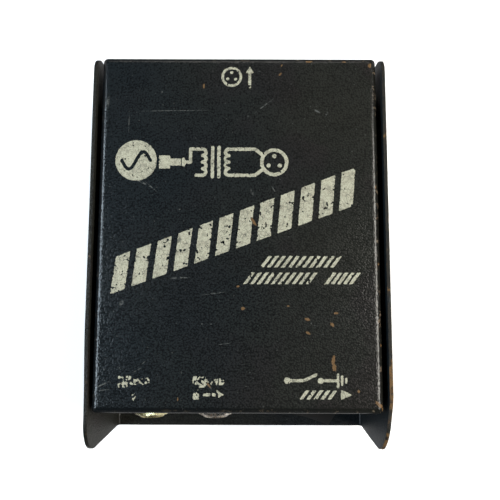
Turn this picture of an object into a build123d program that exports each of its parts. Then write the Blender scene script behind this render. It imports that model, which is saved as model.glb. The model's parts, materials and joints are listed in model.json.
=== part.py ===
from build123d import *
import math
import os

# Passive direct injection box: a two-piece steel case with two 6.35 mm jacks and a
# ground-lift rocker on the front, a male three-pin connector on the rear and an audio
# transformer inside.  Millimetres.  +X is right and +Y is the rear, seen from the front
# and above; +Z is up.  The origin is under the middle of the box, on the surface that
# its feet rest on.

# ---- case
case_width = 101.6
case_height = 44.45
cover_width = 96.35
cover_length = 122.4
sheet = 1.2
ear_reach = 13.3
foot_height = 3.0
floor_bend = 2.4
cover_bend = 2.5
cover_corner = 1.5
ear_corner = 10.5
rear_corner = 5.5
rear_lap = 0.6
flange_width = 9.0
flange_end_gap = 8.0
xlr_flange_thickness = 1.6

overall_length = ear_reach + cover_length + xlr_flange_thickness
tray_front = -overall_length / 2
front_y = tray_front + ear_reach
rear_y = front_y + cover_length
tray_rear = rear_y + rear_lap
case_bottom = foot_height
case_top = case_bottom + case_height
floor_top = case_bottom + sheet
connector_z = case_bottom + 23.05

# ---- feet and case screws
foot_radius = 6.35
foot_tip_radius = 5.4
foot_x = 39.0
foot_front_y = tray_front + 10.0
foot_rear_y = rear_y - 9.0
case_screw_x = cover_width / 2 - sheet - 4.7
case_screw_ys = (front_y + 14.0, rear_y - 22.0)
case_screw_radius = 1.7
case_screw_hole = 1.85
press_nut_radius = 3.4
press_nut_spigot = 2.55
press_nut_height = 2.6

# ---- jacks, measured inwards from the front panel's face
jack_in_x = -31.75
jack_thru_x = -8.5
plug_bore = 3.2
bushing_radius = 4.76
bushing_reach = 4.8
thread_pitch = 0.79
thread_depth = 0.3
jack_hole = 4.85
jack_washer_radius = 7.2
jack_washer = 0.8
jack_nut_flats = 12.7
jack_nut = 3.1
lock_washer_radius = 6.6
lock_washer = 0.7
collar_radius = 6.3
collar = 1.0
frame_steel = 1.2
frame_half = 7.5
arm_half = 4.5
arm_reach = 14.4
arm_drop = 7.2
leaf = 0.4
insulator = 1.0
stack_start = 5.2
stack_end = 11.0
rivet_radius = 1.0
rivet_head_radius = 1.9
rivet_head = 0.8
lug_reach = 8.5
joint_gap = 0.3

# ---- rocker switch, measured from its pivot on the panel's centre height
switch_x = 26.3
pivot_depth = 1.4
rocker_tilt = 16.0
rocker_half_height = 5.4
rocker_tip_u = 7.76
rocker_tip_v = 6.37
rocker_dish = 0.4
rocker_base_u = 9.3
rocker_base_v = 2.0
pivot_pin_radius = 1.2
pivot_hole_radius = 1.25
bezel_half_x = 12.0
bezel_half_z = 8.0
bezel_height = 2.0
opening_half_x = 9.95
opening_half_z = 5.7
body_half_x = 10.7
body_half_z = 6.65
cutout_half_x = 10.8
cutout_half_z = 6.8
body_depth = 14.4
body_floor = 1.2
plunger_radius = 1.0
plunger_bore = 1.15
plunger_tip = 8.0
spring_length = 2.2
lever_arm = 5.5
lever_bend = 18.0
lever_tilt = 10.0
lever_steel = 0.5
lever_half_width = 1.8
tab_thickness = 0.8
tab_half_width = 2.4
tab_end = 22.0

# ---- male three-pin connector, measured inwards from the rear panel's face
xlr_flange_half_x = 13.0
xlr_flange_half_z = 15.5
xlr_barrel_radius = 11.8
xlr_cup_radius = 9.55
xlr_lip_radius = 8.4
xlr_barrel_end = 19.0
xlr_lip = 1.0
xlr_insert_front = 12.2
xlr_hole = 12.0
xlr_screw_x = 9.5
xlr_screw_z = 12.0
pin_radius = 1.18
pin_tip_depth = 0.6
pin_spread = 3.81
pin_lift = 1.5
pin_shank_radius = 1.35
pin_shank_end = 24.0

# ---- transformer
core_y = 12.0
core_half_x = 14.3
core_half_y = 7.15
core_height = 23.8
leg = 4.75
window_half_height = 7.15
bobbin_wall = 0.7
winding_half_x = 8.9
winding_half_y = 11.4
tape = 0.2
strap = 0.8
strap_half_y = 6.5
strap_foot_x = 23.5
strap_screw_x = 19.3
m3_radius = 1.5
m3_hole = 1.65
m3_nut_flats = 5.5
m3_nut = 2.4

wire_radius = 0.8


# ---------------------------------------------------------------- shared shapes
def block(x0, x1, y0, y1, z0, z1):
    """Box between two corners."""
    middle = Pos((x0 + x1) / 2, (y0 + y1) / 2, (z0 + z1) / 2)
    return middle * Box(abs(x1 - x0), abs(y1 - y0), abs(z1 - z0))


def upright(radius, z0, z1):
    """Cylinder along Z."""
    return Pos(0, 0, (z0 + z1) / 2) * Cylinder(radius, z1 - z0)


def turned(radius, y0, y1):
    """Cylinder along Y."""
    return Pos(0, (y0 + y1) / 2, 0) * Rot(90, 0, 0) * Cylinder(radius, y1 - y0)


def revolved(points):
    """Solid turned about Z from (radius, height) points."""
    outline = [Vector(radius, 0, height) for radius, height in points]
    face = make_face(Polyline(*outline, close=True).edges())
    return revolve(face, Axis.Z)


def hex_nut(flats, height, bore):
    """Nut standing on Z = 0, with its corners turned down at both ends."""
    corner = flats / math.sqrt(3)
    crown = 0.47 * flats
    fall = (corner - crown) * math.tan(math.radians(30))
    prism = extrude(RegularPolygon(flats / 2, 6, major_radius=False), height)
    envelope = revolved([(0, 0), (crown, 0), (corner, fall), (corner, height - fall),
                         (crown, height), (0, height)])
    return (prism & envelope) - upright(bore, -1, height + 1)


def cross_recess(width, depth):
    """Cross-shaped driver recess, cut upwards from Z = 0."""
    slot = 0.28 * width
    return (block(-width / 2, width / 2, -slot / 2, slot / 2, -0.1, depth)
            + block(-slot / 2, slot / 2, -width / 2, width / 2, -0.1, depth))


def pan_screw(radius, length, head_radius, head_height):
    """Screw driven upwards: shank from Z = 0 up, domed head below."""
    rim = 0.35 * head_height
    head = revolved([(0, 0), (head_radius, 0), (head_radius, -rim),
                     (0.82 * head_radius, -0.85 * head_height),
                     (0.55 * head_radius, -head_height), (0, -head_height)])
    recess = Pos(0, 0, -head_height) * cross_recess(1.1 * head_radius, 0.55 * head_height)
    shank = upright(radius, -0.01, length - 0.4)
    point = revolved([(0, length - 0.4), (radius, length - 0.4), (0.7 * radius, length), (0, length)])
    return head + shank + point - recess


def threaded_tube(radius, y0, y1):
    """Rod along Y with thread-like grooves round it."""
    turns = int((y1 - y0) / thread_pitch)
    points = [(0, y0), (radius - thread_depth, y0)]
    for turn in range(turns):
        start = y0 + turn * thread_pitch
        points.append((radius, start + thread_pitch / 2))
        points.append((radius - thread_depth, start + thread_pitch))
    points += [(radius - thread_depth, y1), (0, y1)]
    face = make_face(Polyline(*[Vector(r, y, 0) for r, y in points], close=True).edges())
    return revolve(face, Axis.Y)


def round_wire(points):
    """Insulated wire: straight runs joined by the largest arcs that the runs allow."""
    radii = []
    for before, here, after in zip(points, points[1:], points[2:]):
        run_in = Vector(*here) - Vector(*before)
        run_out = Vector(*after) - Vector(*here)
        half_turn = math.radians(run_in.get_angle(run_out)) / 2
        radii.append(0.45 * min(run_in.length, run_out.length) / math.tan(half_turn))
    path = FilletPolyline(*points, radius=radii) if radii else Line(*points)
    start = Plane(origin=path @ 0, z_dir=path % 0)
    wire = sweep(start * Circle(wire_radius), path)
    section = math.pi * wire_radius ** 2
    print(f"wire {path.length:6.1f} mm, volume ratio {wire.volume / (section * path.length):.4f}, "
          f"arcs {[round(r, 1) for r in radii]}")
    return wire


# ---------------------------------------------------------------- case
def base_tray():
    """Floor and two side plates bent from one sheet, the plates running on as ears."""
    length = tray_rear - tray_front
    middle = (tray_rear + tray_front) / 2
    outer = Pos(0, middle, case_bottom + case_height / 2) * Box(case_width, length, case_height)
    outer = fillet(outer.edges().filter_by(Axis.Y).group_by(Axis.Z)[0], floor_bend)
    hollow = block(-case_width / 2 + sheet, case_width / 2 - sheet,
                   tray_front - 1, tray_rear + 1, floor_top, case_top + 5)
    hollow = fillet(hollow.edges().filter_by(Axis.Y).group_by(Axis.Z)[0], floor_bend - sheet)
    tray = outer - hollow
    corners = tray.edges().filter_by(Axis.X).group_by(Axis.Z)[-1].group_by(Axis.Y)
    tray = fillet(corners[0], ear_corner)
    corners = tray.edges().filter_by(Axis.X).group_by(Axis.Z)[-1].group_by(Axis.Y)
    tray = fillet(corners[-1], rear_corner)
    for y in case_screw_ys:
        for x in (-case_screw_x, case_screw_x):
            tray -= Pos(x, y, 0) * upright(case_screw_hole, case_bottom - 1, floor_top + 1)
    for x in (-strap_screw_x, strap_screw_x):
        tray -= Pos(x, core_y, 0) * upright(m3_hole, case_bottom - 1, floor_top + 1)
    return tray


def top_cover():
    """Five-sided pan with inturned bottom flanges, standing on the base's floor."""
    height = case_top - floor_top
    outer = Pos(0, (front_y + rear_y) / 2, floor_top + height / 2)
    outer = outer * Box(cover_width, cover_length, height)
    outer = fillet(outer.edges().filter_by(Axis.Z), cover_corner)
    outer = fillet(outer.faces().sort_by(Axis.Z)[-1].edges(), cover_bend)
    hollow = block(-cover_width / 2 + sheet, cover_width / 2 - sheet,
                   front_y + sheet, rear_y - sheet, floor_top - 1, case_top - sheet)
    hollow = fillet(hollow.edges().filter_by(Axis.Z), cover_corner - sheet)
    hollow = fillet(hollow.faces().sort_by(Axis.Z)[-1].edges(), cover_bend - sheet)
    cover = outer - hollow
    for side in (-1, 1):
        wall = side * (cover_width / 2 - sheet / 2)
        inner = side * (cover_width / 2 - sheet - flange_width)
        flange = block(min(wall, inner), max(wall, inner), front_y + flange_end_gap,
                       rear_y - flange_end_gap, floor_top, floor_top + sheet)
        for y in case_screw_ys:
            hole = Pos(side * case_screw_x, y, 0) * upright(press_nut_spigot + 0.05, floor_top - 1,
                                                            floor_top + 3)
            flange -= hole
        cover += flange
    for x in (jack_in_x, jack_thru_x):
        cover -= Pos(x, front_y, connector_z) * turned(jack_hole, -1, sheet + 1)
    cover -= Pos(switch_x, front_y, connector_z) * block(-cutout_half_x, cutout_half_x, -1, sheet + 1,
                                                        -cutout_half_z, cutout_half_z)
    cover -= Pos(0, rear_y, connector_z) * turned(xlr_hole, -sheet - 1, 1)
    for side in (-1, 1):
        screw = Pos(side * xlr_screw_x, rear_y, connector_z - side * xlr_screw_z)
        cover -= screw * turned(m3_hole, -sheet - 1, 1)
    return cover


def case_fasteners():
    """Four screws driven up through the floor into press nuts in the cover's flanges."""
    screws = []
    nuts = []
    ring = revolved([(case_screw_radius + 0.05, floor_top), (press_nut_spigot, floor_top),
                     (press_nut_spigot, floor_top + sheet), (press_nut_radius, floor_top + sheet),
                     (press_nut_radius, floor_top + sheet + press_nut_height),
                     (case_screw_radius + 0.05, floor_top + sheet + press_nut_height)])
    for y in case_screw_ys:
        for x in (-case_screw_x, case_screw_x):
            screws.append(Pos(x, y, case_bottom) * pan_screw(case_screw_radius, 8.0, 3.3, 1.9))
            nuts.append(Pos(x, y, 0) * ring)
    return {"case_screws": Compound(screws), "case_press_nuts": Compound(nuts)}


def rubber_feet():
    """Four stick-on feet near the corners of the floor."""
    shape = revolved([(0, 0), (foot_tip_radius - 0.6, 0), (foot_tip_radius, 0.5),
                      (foot_radius, foot_height), (0, foot_height)])
    feet = {}
    for end, y in (("front", foot_front_y), ("rear", foot_rear_y)):
        for side, x in (("left", -foot_x), ("right", foot_x)):
            feet[f"foot_{end}_{side}"] = Pos(x, y, 0) * shape
    return feet


# ---------------------------------------------------------------- jacks
def jack_bushing():
    """Threaded bushing with the collar behind the panel and the spigot staked in the frame."""
    collar_start = sheet + lock_washer
    frame_start = collar_start + collar
    body = threaded_tube(bushing_radius, -bushing_reach, collar_start)
    body += turned(collar_radius, collar_start, frame_start)
    body += turned(bushing_radius - 0.3, frame_start, frame_start + frame_steel)
    body -= turned(plug_bore, -bushing_reach - 1, frame_start + frame_steel + 1)
    lead_in = Pos(0, -bushing_reach, 0) * Rot(-90, 0, 0)
    cone = revolved([(0, -0.1), (plug_bore + 0.7, -0.1), (plug_bore - 0.1, 0.7), (0, 0.7)])
    return body - lead_in * cone


def jack_frame(side):
    """L-shaped frame: front plate round the bushing, arm under the spring stack, sleeve lug."""
    plate_start = sheet + lock_washer + collar
    plate_end = plate_start + frame_steel
    bottom = -arm_drop - frame_steel
    plate = block(-frame_half, frame_half, plate_start, plate_end, bottom, frame_half)
    plate = fillet(plate.edges().filter_by(Axis.Y).group_by(Axis.Z)[-1], 3.0)
    arm = block(-arm_half, arm_half, plate_start, arm_reach, bottom, -arm_drop)
    lug = block(side * (arm_half - 1), side * lug_reach, arm_reach - 4.4, arm_reach,
                bottom, -arm_drop)
    rivet = Pos(0, (stack_start + stack_end) / 2, 0) * upright(rivet_radius + 0.05, bottom - 1, -1)
    hole = turned(bushing_radius - 0.25, plate_start - 1, plate_end + 1)
    return plate + arm + lug - hole - rivet


def jack_stack(side):
    """Insulators, clamped tip lug and rivet that hold the tip spring on the frame's arm."""
    middle = (stack_start + stack_end) / 2
    low = -arm_drop + insulator
    high = low + leaf
    bore = Pos(0, middle, 0) * upright(rivet_radius + 0.05, -20, 20)
    half = arm_half - 0.3
    lower = block(-half, half, stack_start, stack_end, -arm_drop, low) - bore
    upper = block(-half, half, stack_start, stack_end, high, high + insulator) - bore
    lug = block(-3, 3, stack_start, stack_end, low, high)
    lug += block(side * 2.5, side * lug_reach, middle - 2.2, middle + 2.2, low, high)
    lug -= Pos(0, middle, 0) * upright(rivet_radius + 0.6, -20, 20)
    top = high + insulator
    bottom = -arm_drop - frame_steel
    rivet = revolved([(0, bottom - rivet_head), (rivet_head_radius - 0.5, bottom - rivet_head),
                      (rivet_head_radius, bottom), (rivet_radius, bottom), (rivet_radius, top),
                      (rivet_head_radius, top), (rivet_head_radius - 0.5, top + rivet_head),
                      (0, top + rivet_head)])
    return Compound([lower, upper]), lug, Pos(0, middle, 0) * rivet


def tip_spring():
    """Leaf beyond its bending line, with the bump that rests in a plug's tip groove."""
    start = stack_end + joint_gap
    low = -arm_drop + insulator
    high = low + leaf
    bump = -1.4
    outline = [(start, low), (start, high), (18.6, high), (21.6, bump), (22.6, bump), (24.6, bump - 1.4),
               (24.3, bump - 1.7), (22.4, bump - leaf), (21.8, bump - leaf), (18.8, low)]
    face = make_face(Polyline(*[Vector(0, y, z) for y, z in outline], close=True).edges())
    return extrude(face, 2.4, dir=(1, 0, 0), both=True)


def jack_hardware(turn):
    """Outer washer and nut on the panel's face, lock washer behind it."""
    washer = turned(jack_washer_radius, -jack_washer, 0) - turned(jack_hole, -2, 1)
    nut = hex_nut(jack_nut_flats, jack_nut, bushing_radius + 0.04)
    nut = Pos(0, -jack_washer, 0) * Rot(0, turn, 0) * Rot(90, 0, 0) * nut
    lock = turned(lock_washer_radius, sheet, sheet + lock_washer)
    lock -= turned(jack_hole, 0, sheet + 2)
    for notch in range(12):
        tooth_gap = block(-0.45, 0.45, sheet - 1, sheet + 2,
                          lock_washer_radius - 0.9, lock_washer_radius + 1)
        lock -= Rot(0, 30 * notch, 0) * tooth_gap
    return washer, nut, lock


def jack(name, x, side, turn):
    """Every piece of one jack; side is where its solder lugs point."""
    place = Pos(x, front_y, connector_z)
    insulators, lug, rivet = jack_stack(side)
    washer, nut, lock = jack_hardware(turn)
    pieces = {"bushing": jack_bushing(), "frame": jack_frame(side), "insulators": insulators,
              "tip_lug": lug, "stack_rivet": rivet, "tip_spring": tip_spring(),
              "washer": washer, "nut": nut, "lock_washer": lock}
    return {f"{name}_{piece}": place * shape for piece, shape in pieces.items()}


# ---------------------------------------------------------------- rocker switch
def rocker_shape():
    """Rocker in its level position about its pivot: dished face, flared ends, hub, pivot pins."""
    tip = (rocker_tip_u, -rocker_tip_v)
    face_line = ThreePointArc((-tip[0], tip[1]), (0, tip[1] + rocker_dish), tip)
    base = (rocker_base_u, -rocker_base_v)
    waist = (rocker_base_u - 1.2, 0.9)
    hub = (2.4, 4.2)
    right = Polyline(tip, base, waist, (3.2, 2.2), hub)
    bottom = Line(hub, (-hub[0], hub[1]))
    left = Polyline((-hub[0], hub[1]), (-3.2, 2.2), (-waist[0], waist[1]),
                    (-base[0], base[1]), (-tip[0], tip[1]))
    profile = make_face((face_line + right + bottom + left).edges())
    body = extrude(profile, rocker_half_height, both=True)
    tips = body.edges().filter_by(Axis.Z).group_by(Axis.Y)[0]
    body = fillet(tips, 0.5)
    body += upright(pivot_pin_radius, -body_half_z + 0.1, body_half_z - 0.1)
    return body - turned(plunger_bore, -0.2, hub[1] + 1)


def switch_rocker_group():
    """Rocker, plunger and plunger spring, rocked so that the right end stands out."""
    stem_start = spring_length
    plunger = turned(plunger_radius, stem_start, plunger_tip)
    plunger += Pos(0, plunger_tip, 0) * Sphere(plunger_radius)
    coil = Helix(pitch=0.7, height=spring_length - 0.4, radius=0.75)
    section = Plane(origin=coil @ 0, z_dir=coil % 0) * Circle(0.14)
    spring = Rot(-90, 0, 0) * sweep(section, coil)
    place = Pos(switch_x, front_y + pivot_depth, connector_z) * Rot(0, 0, -rocker_tilt)
    return {"switch_rocker": place * rocker_shape(), "switch_plunger": place * plunger,
            "switch_plunger_spring": place * spring}


def switch_housing():
    """Bezel and open box that the rocker turns in, with barbs that grip the panel."""
    bezel = block(-bezel_half_x, bezel_half_x, -bezel_height, 0, -bezel_half_z, bezel_half_z)
    bezel = fillet(bezel.edges().filter_by(Axis.Y), 1.2)
    bezel = chamfer(bezel.faces().sort_by(Axis.Y)[0].edges(), 0.5)
    body = block(-body_half_x, body_half_x, 0, body_depth, -body_half_z, body_half_z)
    hollow = block(-opening_half_x, opening_half_x, -bezel_height - 1, body_depth - body_floor,
                   -opening_half_z, opening_half_z)
    pivot = Pos(0, pivot_depth, 0) * upright(pivot_hole_radius, -body_half_z - 1, body_half_z + 1)
    housing = bezel + body - hollow - pivot
    for x in (0, lever_arm + 1.9):
        half_slot = tab_thickness / 2 + 0.03
        housing -= block(x - half_slot, x + half_slot, body_depth - body_floor - 1, body_depth + 1,
                         -tab_half_width - 0.03, tab_half_width + 0.03)
    barb_outline = [(body_half_x - 0.1, sheet + 0.1), (body_half_x + 0.8, sheet + 0.1),
                    (body_half_x - 0.1, sheet + 4.0)]
    barb = extrude(make_face(Polyline(*barb_outline, close=True).edges()), 2.5, both=True)
    return housing + barb + mirror(barb, Plane.YZ)


def contact_lever():
    """Bent see-saw strip behind the plunger, with a contact button near each end."""
    arm_x = lever_arm * math.cos(math.radians(lever_bend))
    arm_y = lever_arm * math.sin(math.radians(lever_bend))
    outline = [(0, 0), (arm_x, -arm_y), (arm_x, -arm_y - lever_steel), (0, -lever_steel),
               (-arm_x, -arm_y - lever_steel), (-arm_x, -arm_y)]
    face = make_face(Polyline(*outline, close=True).edges())
    lever = extrude(face, lever_half_width, both=True)
    for side in (-1, 1):
        button = Pos(side * (arm_x - 1.2), -arm_y * (arm_x - 1.2) / arm_x, 0)
        lever += button * Rot(0, 0, side * -lever_bend) * turned(0.9, -0.2, 0.35)
    return lever


def switch_internals():
    """Housing, contact lever and the two flat terminals."""
    place = Pos(switch_x, front_y, connector_z)
    valley = pivot_depth + plunger_tip + plunger_radius + joint_gap + lever_steel
    lever = Pos(0, valley, 0) * Rot(0, 0, lever_tilt) * contact_lever()
    common = block(-tab_thickness / 2, tab_thickness / 2, valley + joint_gap, tab_end,
                   -tab_half_width, tab_half_width)
    tab_x = lever_arm + 1.9
    pad_y = valley + 0.35
    tab_right = tab_x + tab_thickness / 2
    throw = block(tab_x - 4.0, tab_right, pad_y, pad_y + 0.6, -tab_half_width, tab_half_width)
    throw += block(tab_right - tab_thickness, tab_right, pad_y, tab_end, -tab_half_width, tab_half_width)
    shapes = {"switch_housing": switch_housing(), "switch_contact_lever": lever,
              "switch_common_terminal": terminal_hole(common, 0),
              "switch_throw_terminal": terminal_hole(throw, tab_x)}
    return {name: place * shape for name, shape in shapes.items()}


def terminal_hole(tab, x):
    """Wire hole across a flat terminal near its end."""
    return tab - Pos(x, tab_end - 2.2, 0) * Rot(0, 90, 0) * Cylinder(0.7, 4)


# ---------------------------------------------------------------- rear connector
def xlr_pins():
    """(name, x, z) of the three pins, seen from the rear with the connector's top up."""
    return (("1", pin_spread, pin_lift), ("2", -pin_spread, pin_lift), ("3", 0, pin_lift - pin_spread))


def xlr_shell():
    """Square flange outside the panel and a round barrel with an inner lip behind it."""
    flange = block(-xlr_flange_half_x, xlr_flange_half_x, 0, xlr_flange_thickness,
                   -xlr_flange_half_z, xlr_flange_half_z)
    flange = fillet(flange.edges().filter_by(Axis.Y), 2.5)
    flange = chamfer(flange.faces().sort_by(Axis.Y)[-1].edges(), 0.4)
    barrel = turned(xlr_barrel_radius, -xlr_barrel_end, 0)
    shell = flange + barrel - turned(xlr_cup_radius, -xlr_barrel_end + xlr_lip, xlr_flange_thickness + 1)
    shell -= turned(xlr_lip_radius, -xlr_barrel_end - 1, 0)
    shell -= block(-3.2, 3.2, -4.0, xlr_flange_thickness + 1, xlr_cup_radius - 1, xlr_cup_radius + 1.4)
    for side in (-1, 1):
        place = Pos(side * xlr_screw_x, 0, -side * xlr_screw_z)
        shell -= place * turned(m3_hole, -1, xlr_flange_thickness + 1)
        shell -= place * Pos(0, xlr_flange_thickness, 0) * Rot(90, 0, 0) * countersink(0.05)
    return shell


def countersink(clearance):
    """Cone of a flat screw head, wide end at Z = 0, narrowing along +Z."""
    return revolved([(0, 0), (2.9 + clearance, 0), (m3_radius + clearance, 1.4 + clearance),
                     (0, 1.4 + clearance)])


def xlr_fasteners():
    """Two flat-head screws through flange and panel, and their nuts inside."""
    screws = []
    nuts = []
    for side in (-1, 1):
        place = Pos(side * xlr_screw_x, 0, -side * xlr_screw_z)
        shank = upright(m3_radius, 1.3, 7.0)
        screw = countersink(0) + shank - Rot(0, 0, 20 * side) * cross_recess(3.0, 1.0)
        screws.append(place * Pos(0, xlr_flange_thickness, 0) * Rot(90, 0, 0) * screw)
        nut = Rot(90, 0, 0) * hex_nut(m3_nut_flats, m3_nut, m3_radius + 0.04)
        nuts.append(place * Pos(0, -sheet, 0) * nut)
    return Compound(screws), Compound(nuts)


def xlr_insert():
    """Insulating disc that carries the pins, seated on the barrel's inner lip."""
    disc = turned(xlr_cup_radius - 0.05, -xlr_barrel_end + xlr_lip, -xlr_insert_front)
    for name, x, z in xlr_pins():
        disc -= Pos(x, 0, z) * turned(pin_shank_radius + 0.04, -xlr_barrel_end, 0)
    return disc


def xlr_pin():
    """Round contact with a domed tip, and a thicker shank that holds it in the insert."""
    straight_end = -pin_tip_depth - pin_radius
    pin = turned(pin_radius, -xlr_insert_front, straight_end)
    pin += Pos(0, straight_end, 0) * Sphere(pin_radius)
    pin += turned(pin_shank_radius, -pin_shank_end, -xlr_insert_front)
    return pin


def rear_connector():
    """Every piece of the rear connector."""
    screws, nuts = xlr_fasteners()
    shapes = {"xlr_shell": xlr_shell(), "xlr_insert": xlr_insert(), "xlr_screws": screws, "xlr_nuts": nuts}
    for name, x, z in xlr_pins():
        shapes[f"xlr_pin_{name}"] = Pos(x, 0, z) * xlr_pin()
    place = Pos(0, rear_y, connector_z)
    return {name: place * shape for name, shape in shapes.items()}


# ---------------------------------------------------------------- transformer
def transformer():
    """Laminated core, bobbin, winding, tape, strap frame and its fasteners."""
    middle = core_height / 2
    core = block(-core_half_x, core_half_x, -core_half_y, core_half_y, 0, core_height)
    for side in (-1, 1):
        core -= block(side * leg, side * 2 * leg, -core_half_y - 1, core_half_y + 1,
                      middle - window_half_height, middle + window_half_height)
    tube_x = leg + 0.1 + bobbin_wall
    tube_y = core_half_y + 0.1 + bobbin_wall
    half = window_half_height - 0.1
    bobbin = block(-tube_x, tube_x, -tube_y, tube_y, middle - half, middle + half)
    for z in (middle - half, middle + half - bobbin_wall):
        bobbin += block(-2 * leg + 0.1, 2 * leg - 0.1, -winding_half_y - 0.4, winding_half_y + 0.4,
                        z, z + bobbin_wall)
    bobbin -= block(-leg - 0.1, leg + 0.1, -core_half_y - 0.1, core_half_y + 0.1, 0, core_height)
    winding = wound_ring(tube_x, tube_y, winding_half_x, winding_half_y, half - bobbin_wall)
    wrap = wound_ring(winding_half_x, winding_half_y, winding_half_x + tape, winding_half_y + tape,
                      half - bobbin_wall)
    outer_x = core_half_x + strap
    frame = block(-outer_x, outer_x, -strap_half_y, strap_half_y, 0, core_height + strap)
    frame = fillet(frame.edges().filter_by(Axis.Y).group_by(Axis.Z)[-1], strap)
    frame += block(-strap_foot_x, strap_foot_x, -strap_half_y, strap_half_y, 0, strap)
    frame -= block(-core_half_x, core_half_x, -strap_half_y - 1, strap_half_y + 1, -1, core_height)
    screws = []
    nuts = []
    for x in (-strap_screw_x, strap_screw_x):
        frame -= Pos(x, 0, 0) * upright(m3_hole, -1, 2)
        screws.append(Pos(x, 0, -sheet) * pan_screw(m3_radius, 6.0, 2.9, 1.8))
        nuts.append(Pos(x, 0, strap) * hex_nut(m3_nut_flats, m3_nut, m3_radius + 0.04))
    shapes = {"core": core, "bobbin": bobbin, "winding": Pos(0, 0, middle) * winding,
              "tape": Pos(0, 0, middle) * wrap, "frame": frame,
              "screws": Compound(screws), "nuts": Compound(nuts)}
    place = Pos(0, core_y, floor_top)
    return {f"transformer_{name}": place * shape for name, shape in shapes.items()}


def wound_ring(inner_x, inner_y, outer_x, outer_y, half_height):
    """Rectangular ring with rounded upright corners."""
    ring = block(-outer_x, outer_x, -outer_y, outer_y, -half_height, half_height)
    ring = fillet(ring.edges().filter_by(Axis.Z), 0.5 * (outer_x - inner_x))
    return ring - block(-inner_x, inner_x, -inner_y, inner_y, -half_height - 1, half_height + 1)


# ---------------------------------------------------------------- wiring
def wiring():
    """Eight point-to-point wires, each from lug to lug."""
    lug_y = front_y + (stack_start + stack_end) / 2
    tab_y = front_y + arm_reach
    on_tip_lug = connector_z - arm_drop + insulator + leaf + wire_radius
    on_sleeve_lug = connector_z - arm_drop + wire_radius
    under_sleeve_lug = connector_z - arm_drop - frame_steel - wire_radius
    link_ends = (jack_in_x + 6.5, jack_thru_x - 6.5)
    winding_front = core_y - winding_half_y - tape
    winding_rear = core_y + winding_half_y + tape
    winding_z = floor_top + core_height / 2
    terminal_y = front_y + tab_end
    throw_x = switch_x + lever_arm + 1.9
    cup_y = rear_y - pin_shank_end
    hot_x, hot_y = jack_thru_x - 7.5, lug_y + 1.0
    cold_x, cold_y = jack_thru_x - 5.6, tab_y - 2.6
    pins = {name: (x, connector_z + z) for name, x, z in xlr_pins()}
    return {
        "wire_tip_link": round_wire([(link_ends[0], lug_y - 1.2, on_tip_lug),
                                     (link_ends[1], lug_y - 1.2, on_tip_lug)]),
        "wire_sleeve_link": round_wire([(link_ends[0], tab_y - 3.4, under_sleeve_lug),
                                        (link_ends[1], tab_y - 3.4, under_sleeve_lug)]),
        "wire_primary_hot": round_wire([(hot_x, hot_y, on_tip_lug), (hot_x, hot_y + 18, on_tip_lug),
                                        (-9, winding_front - 16, winding_z + 3),
                                        (-4, winding_front - 6, winding_z + 3),
                                        (-4, winding_front, winding_z + 3)]),
        "wire_primary_return": round_wire([(cold_x, cold_y, on_sleeve_lug),
                                           (cold_x, cold_y + 12, on_sleeve_lug),
                                           (-3, winding_front - 17, winding_z - 1),
                                           (3, winding_front - 7, winding_z - 2),
                                           (3, winding_front, winding_z - 2)]),
        "wire_secondary_hot": round_wire([(-5, winding_rear, winding_z + 3),
                                          (-5, winding_rear + 6, winding_z + 3),
                                          (pins["2"][0], cup_y - 6, pins["2"][1]),
                                          (pins["2"][0], cup_y, pins["2"][1])]),
        "wire_secondary_cold": round_wire([(3, winding_rear, winding_z - 2),
                                           (3, winding_rear + 6, winding_z - 2),
                                           (pins["3"][0], cup_y - 6, pins["3"][1]),
                                           (pins["3"][0], cup_y, pins["3"][1])]),
        "wire_ground": round_wire([(pins["1"][0], cup_y, pins["1"][1]),
                                   (pins["1"][0], cup_y - 7, pins["1"][1]),
                                   (20, cup_y - 18, connector_z + 4),
                                   (throw_x, cup_y - 36, connector_z + 2),
                                   (throw_x + 1, terminal_y + 22, connector_z + 1),
                                   (throw_x, terminal_y + 8, connector_z),
                                   (throw_x, terminal_y, connector_z)]),
        "wire_ground_return": round_wire([(switch_x, terminal_y, connector_z),
                                          (switch_x, terminal_y + 7, connector_z),
                                          (18, terminal_y + 11, connector_z - 5),
                                          (8, terminal_y + 4, under_sleeve_lug),
                                          (2, tab_y - 1.2, under_sleeve_lug),
                                          (jack_thru_x - 6.5, tab_y - 1.2, under_sleeve_lug)]),
    }


def build():
    """All nodes of the box, by name."""
    nodes = {"base_tray": base_tray(), "top_cover": top_cover()}
    nodes.update(case_fasteners())
    nodes.update(rubber_feet())
    nodes.update(jack("jack_in", jack_in_x, 1, -14))
    nodes.update(jack("jack_thru", jack_thru_x, -1, 0))
    nodes.update(switch_rocker_group())
    nodes.update(switch_internals())
    nodes.update(rear_connector())
    nodes.update(transformer())
    nodes.update(wiring())
    return nodes


os.makedirs("parts", exist_ok=True)
for node, shape in build().items():
    export_step(shape, f"parts/{node}.step")
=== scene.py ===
import json
import math

import bmesh
import bpy
import numpy as np
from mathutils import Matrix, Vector, noise


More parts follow.
